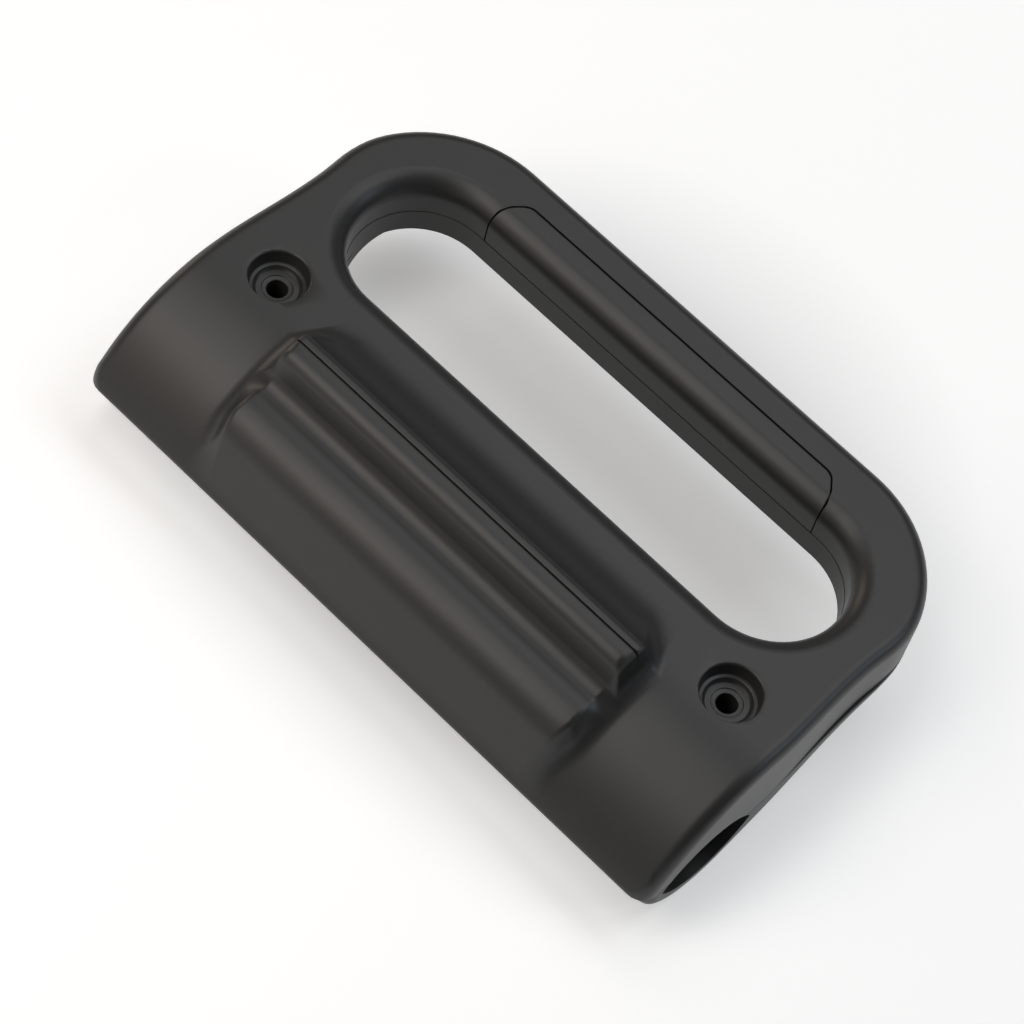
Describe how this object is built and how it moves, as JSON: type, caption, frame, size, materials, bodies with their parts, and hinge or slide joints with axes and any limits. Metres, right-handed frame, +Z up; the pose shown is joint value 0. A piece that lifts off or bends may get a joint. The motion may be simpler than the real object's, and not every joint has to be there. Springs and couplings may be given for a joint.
{
  "type": "cargo cover handle",
  "caption": "Two-shell moulded pull handle for a car's cargo cover, with a finger slot, a grip insert, a raised hump and a tunnel for the cover's end bar.",
  "frame": {"origin": "bottom centre of the bounding box, under the belly", "axes": "+X along the length of the handle, +Y from the lip towards the grip bar, +Z up out of the flat top"},
  "size_m": [0.16, 0.099, 0.04],
  "materials": {
    "upper_shell": "fine satin moulded texture",
    "lower_shell": "fine satin moulded texture",
    "grip_insert": "fine satin moulded texture"
  },
  "bodies": {
    "root": {"upper_shell": "upper_shell", "lower_shell": "lower_shell", "grip_insert": "grip_insert"}
  },
  "joints": []
}
